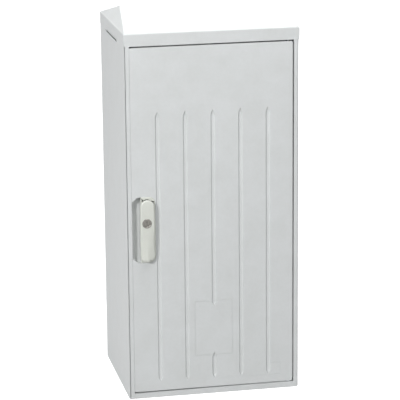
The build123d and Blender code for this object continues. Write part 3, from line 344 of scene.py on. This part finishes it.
def door_edge(x, y, z):
    """Whether a point belongs to the rounded front edge of the door."""
    inside = min(x - DOOR_OLD[0], DOOR_OLD[1] - x, z - DOOR_OLD[2], DOOR_OLD[3] - z)
    return y < FRONT + EDGE_OLD + NEAR and inside < EDGE_OLD + NEAR


def door_edge_moved(x, y, z):
    """Where such a point goes; the hinge side on the right moves but keeps its rounding."""
    at_hinge = DOOR_OLD[1] - x < EDGE_OLD + NEAR
    depth = y if at_hinge else FRONT + (y - FRONT) * EDGE_NEW / EDGE_OLD
    if x < 0:
        side = drawn_in(x, DOOR_OLD[0], DOOR_NEW[0], 1)
    else:
        side = drawn_in(x, DOOR_OLD[1], DOOR_NEW[1], -1, 1.0)
    if z < DOOR_MIDDLE:
        height = drawn_in(z, DOOR_OLD[2], DOOR_NEW[2], 1)
    else:
        height = drawn_in(z, DOOR_OLD[3], DOOR_NEW[3], -1)
    return side, depth, height


def on_sunk_field(x, y, z):
    """Whether a point belongs to the floor of a bare field."""
    inside = any(left < x < right and low < z < high for left, right, low, high in SUNK_FIELDS)
    return inside and abs(y - FRONT - FIELD_DEPTH) < FIELD_NEAR


def on_recess_top(x, y, z):
    """Whether a point belongs to the top end of the handle's recess."""
    return RECESS_LEFT < x < -164.0 and FRONT - 0.1 < y < -188.5 and 588.0 < z < 614.0


def on_recess_floor(x, y, z):
    """Whether a point belongs to the floor of the handle's recess."""
    return RECESS_LEFT < x < -163.5 and -192.1 < y < -188.9 and 400.0 < z < 602.0


def flute_ring(x, low, high, y):
    """Outline of a flute at a depth: straight sides and pointed ends that narrow inwards."""
    drawn = (y - FRONT) * FLUTE_SLOPE
    half = FLUTE_HALF - drawn
    return [(x - half, y, low + FLUTE_POINT), (x, y, low + drawn), (x + half, y, low + FLUTE_POINT),
            (x + half, y, high - FLUTE_POINT), (x, y, high - drawn), (x - half, y, high - FLUTE_POINT)]


door_shape = skin_of("door_panel")
print("edge points:", move_points(door_shape, door_edge, door_edge_moved))
print("field points:", move_points(door_shape, on_sunk_field, lambda x, y, z: (x, FRONT, z)))
bmesh.ops.remove_doubles(door_shape, verts=door_shape.verts, dist=MERGE_DISTANCE)
bmesh.ops.dissolve_degenerate(door_shape, edges=door_shape.edges, dist=NO_LENGTH)
face_edges = [e for e in door_shape.edges if len(e.link_faces) == 2
              and all(abs(v.co.y / MM - FRONT) < 0.01 for f in e.link_faces for v in f.verts)]
bmesh.ops.dissolve_edges(door_shape, edges=face_edges, use_verts=False)
bmesh.ops.triangulate(door_shape, faces=[f for f in door_shape.faces if len(f.verts) > 4])
move_points(door_shape, on_recess_top, lambda x, y, z: (x, y, z - RECESS_LOWERED))
move_points(door_shape, on_recess_floor, lambda x, y, z: (x, y + RECESS_DEEPENED, z))
door_skin = as_object("door_skin", door_shape)

lines = bmesh.new()
half_line = LINE_WIDTH / 2
for left, right, low, high in (LABEL, PLATE):
    add_ring(lines, (left - half_line, right + half_line, low - half_line, high + half_line),
             (left + half_line, right - half_line, low + half_line, high - half_line),
             FRONT - CUTTER_START, FRONT + LINE_DEPTH)
cut_away(door_skin, as_object("line_cutter", lines))

flutes = bmesh.new()
spans = [(x, FLUTE_LOW, FLUTE_HIGH) for x in OUTER_FLUTES]
spans += [(0.0, FLUTE_LOW, FLUTE_BREAK[0]), (0.0, FLUTE_BREAK[1], FLUTE_HIGH)]
for x, low, high in spans:
    add_prism(flutes, flute_ring(x, low, high, FRONT - FLUTE_START), flute_ring(x, low, high, FRONT + FLUTE_DEPTH))
cut_away(door_skin, as_object("flute_cutter", flutes))

foot = bmesh.new()
left, right, low, high = FOOT_LINE
add_block(foot, (left, FRONT - CUTTER_START, low), (right, FRONT + FOOT_LINE_DEPTH, high))
cut_away(door_skin, as_object("foot_cutter", foot))
finish_skin(door_skin, "door_panel", "door", False)

# %% [markdown]
# The front frame and the left side wall. The frame's opening follows the door: it comes close to it on the left and
# moves with it on the right and at the bottom. The frame's outer corners are crisper than the solid's. The wall gets a
# thin lip at its front, so a narrow dark groove runs down beside the stile.

# %% Frame and wall skins
OPENING_DEPTH = 4.1  # how far behind the face the opening's edge points reach
OPENING_MOVES = ((0, 235.5, 234.5), (0, -235.5, -235.15), (2, 18.0, 15.0))  # axis, old place, new place
STILE_OLD, STILE_NEW = 246.0, 245.8  # outer edge of a stile, from the middle
CORNER_SIZE, CORNER_SHRINK = 2.6, 0.48
LIP_PROFILE = ((-250.0, -191.7), (-250.0, -201.8), (-249.5, -203.1), (-248.2, -203.6), (-248.2, -191.7))
WALL_HEIGHT = 1027.0


def move_opening(shape, axis, old, new):
    """Move the front edge of the frame's opening that lies at one place on an axis."""
    def at_edge(*place):
        return place[1] < FRONT + OPENING_DEPTH and abs(place[axis] - old) < NEAR

    def moved(*place):
        return [new if i == axis else value for i, value in enumerate(place)]

    print("opening points:", move_points(shape, at_edge, moved))


def crisp_corner(x, y, z):
    """Place of a point on the frame's outer front corner when its rounding shrinks."""
    side = STILE_NEW - (STILE_OLD - abs(x)) * CORNER_SHRINK
    return math.copysign(side, x), FRONT + (y - FRONT) * CORNER_SHRINK, z


frame_shape = skin_of("front_frame")
for axis, old, new in OPENING_MOVES:
    move_opening(frame_shape, axis, old, new)
move_points(frame_shape, lambda x, y, z: y < FRONT + CORNER_SIZE and abs(x) > STILE_OLD - CORNER_SIZE, crisp_corner)
finish_skin(as_object("frame_skin", frame_shape), "front_frame", "cabinet", False)

wall_shape = skin_of("left_side_wall")
add_prism(wall_shape, [(x, y, 0.0) for x, y in LIP_PROFILE], [(x, y, WALL_HEIGHT) for x, y in LIP_PROFILE])
finish_skin(as_object("left_side_skin", wall_shape), "left_side_wall", "cabinet", False)

# %% [markdown]
# The handle. The top of the housing and the head of the lever sit a little lower than the solids' do, but the ring
# round the lever's hub stays. The lock cylinder has a dished front, and the plug lies at the bottom of the dish.

# %% Handle skins
HOUSING_TOP_FROM, LEVER_HEAD_FROM = 588.0, 556.0  # heights above which the points move
LEVER_LOWERED = 7.0
HUB_X, HUB_Z, HUB_RING = -192.5, 578.0, 14.5
LOCK_X, LOCK_Z = -194.5, 524.0
DISH_RADIUS, DISH_DEPTH, DISH_SIDES = 9.3, 4.5, 48
PLUG_SUNK = 3.3

housing_shape = skin_of("handle_housing")
move_points(housing_shape, lambda x, y, z: z > HOUSING_TOP_FROM, lambda x, y, z: (x, y, z - RECESS_LOWERED))
finish_skin(as_object("housing_skin", housing_shape), "handle_housing", "door", True)

lever_shape = skin_of("handle_lever")
move_points(lever_shape, lambda x, y, z: z > LEVER_HEAD_FROM and math.hypot(x - HUB_X, z - HUB_Z) > HUB_RING,
            lambda x, y, z: (x, y, z - LEVER_LOWERED))
finish_skin(as_object("lever_skin", lever_shape), "handle_lever", "lever", True)

cylinder_shape = skin_of("lock_cylinder")
cylinder_front = min(point.co.y for point in cylinder_shape.verts) / MM
cylinder_skin = as_object("cylinder_skin", cylinder_shape)
turns = [math.tau * i / DISH_SIDES for i in range(DISH_SIDES)]
circle = [(LOCK_X + DISH_RADIUS * math.cos(turn), LOCK_Z + DISH_RADIUS * math.sin(turn)) for turn in turns]
dish = bmesh.new()
add_prism(dish, [(x, cylinder_front - CUTTER_START, z) for x, z in circle],
          [(x, cylinder_front + DISH_DEPTH, z) for x, z in circle])
cut_away(cylinder_skin, as_object("dish_cutter", dish))
finish_skin(cylinder_skin, "lock_cylinder", "lever", True)

plug_shape = skin_of("cylinder_plug")
plug_front = min(point.co.y for point in plug_shape.verts) / MM
move_points(plug_shape, lambda x, y, z: y < plug_front + 0.1, lambda x, y, z: (x, y + PLUG_SUNK, z))
finish_skin(as_object("plug_skin", plug_shape), "cylinder_plug", "cylinder_plug", True)

# %% [markdown]
# The floor and the surroundings are plain and near white. The camera sees them as white through the Is Camera Ray
# switch, and the floor still takes the cabinet's shadow. Metal and glass see the same white.

# %% Floor and surroundings
floor_light = 1.1
floor_tone = 0.36
floor_half = 20.0  # metres
ambient = 0.27
ambient_tint = (0.93, 0.97, 1.0, 1)


def studio_floor():
    """Pale floor that shows nearly white and keeps a shadow."""
    material, tree, output, place = new_material("studio_floor")
    seen = node(tree, "ShaderNodeLightPath")
    white = node(tree, "ShaderNodeEmission", Color=(1, 1, 1, 1), Strength=floor_light)
    card = node(tree, "ShaderNodeBsdfDiffuse", Color=(floor_tone, floor_tone, floor_tone, 1))
    both = node(tree, "ShaderNodeAddShader", _0=white.outputs[0], _1=card.outputs[0])
    direct = node(tree, "ShaderNodeMath", {"operation": "MAXIMUM"}, _0=seen.outputs["Is Camera Ray"],
                  _1=seen.outputs["Is Glossy Ray"])
    surface = node(tree, "ShaderNodeMixShader", Fac=direct.outputs[0], _1=card.outputs[0], _2=both.outputs[0])
    tree.links.new(surface.outputs[0], output.inputs["Surface"])
    return material


shape = bmesh.new()
bmesh.ops.create_grid(shape, x_segments=1, y_segments=1, size=floor_half)
floor_mesh = bpy.data.meshes.new("floor")
shape.to_mesh(floor_mesh)
shape.free()
floor = bpy.data.objects.new("floor", floor_mesh)
floor_mesh.materials.append(studio_floor())
scene.collection.objects.link(floor)

world = bpy.data.worlds.new("studio")
scene.world = world
world.use_nodes = True
sky = world.node_tree
sky.nodes.clear()
path = node(sky, "ShaderNodeLightPath")
seen_or_glass = node(sky, "ShaderNodeMath", {"operation": "MAXIMUM"}, _0=path.outputs["Is Camera Ray"],
                     _1=path.outputs["Is Transmission Ray"])
shown_white = node(sky, "ShaderNodeMath", {"operation": "MAXIMUM"}, _0=seen_or_glass.outputs[0],
                   _1=path.outputs["Is Glossy Ray"])
soft = node(sky, "ShaderNodeBackground", Color=ambient_tint, Strength=ambient)
plain_white = node(sky, "ShaderNodeBackground", Color=(1, 1, 1, 1), Strength=1.0)
choice = node(sky, "ShaderNodeMixShader", Fac=shown_white.outputs[0], _1=soft.outputs[0], _2=plain_white.outputs[0])
world_output = node(sky, "ShaderNodeOutputWorld")
sky.links.new(choice.outputs[0], world_output.inputs["Surface"])
print("floor half size:", floor_half, "m, ambient:", ambient)

# %% [markdown]
# Four soft lamps do the rest. A wide one overhead lights the roof more than the walls, one at the left and front is
# the key that shades the flutes from one side, a weak one in front fills the door, and one behind lights the back.

# %% Lamps
def soft_lamp(name, place, aim_height, size, power):
    """Square white area lamp at a place, turned to a height on the cabinet's middle line."""
    data = bpy.data.lights.new(name, "AREA")
    data.size = size
    data.energy = power
    lamp = bpy.data.objects.new(name, data)
    lamp.location = place
    lamp.rotation_euler = (Vector((0.0, 0.0, aim_height)) - Vector(place)).to_track_quat("-Z", "Y").to_euler()
    scene.collection.objects.link(lamp)
    return lamp


soft_lamp("overhead", (0.2, -0.75, 3.7), aim_height=1.0, size=2.2, power=66.0)
soft_lamp("key", (-4.0, -4.2, 3.2), aim_height=0.6, size=0.9, power=240.0)
soft_lamp("front_fill", (1.8, -5.0, 2.6), aim_height=0.8, size=2.0, power=28.0)
soft_lamp("back_fill", (1.6, 4.6, 2.6), aim_height=0.6, size=2.6, power=90.0)

# %% [markdown]
# The camera stands where the photograph was taken from: about six metres away, to the left and above the roof, with
# a long lens. The three turns are the heading, the downward tilt and a slight roll.

# %% Camera
camera_place = Vector((-1.1904, -5.8567, 2.0615))
heading = math.radians(-11.515)
tilt = math.radians(14.408)
roll = math.radians(-0.543)
focal_length = 189.54

camera_data = bpy.data.cameras.new("camera")
camera_data.sensor_width = 36.0
camera_data.lens = focal_length
camera = bpy.data.objects.new("camera", camera_data)
turned = (Matrix.Rotation(heading, 4, "Z") @ Matrix.Rotation(math.pi / 2 - tilt, 4, "X")
          @ Matrix.Rotation(roll, 4, "Z"))
camera.matrix_world = Matrix.Translation(camera_place) @ turned
scene.collection.objects.link(camera)
scene.camera = camera
scene.view_settings.view_transform = "Standard"
print("camera distance:", round(camera_place.length, 2), "m")
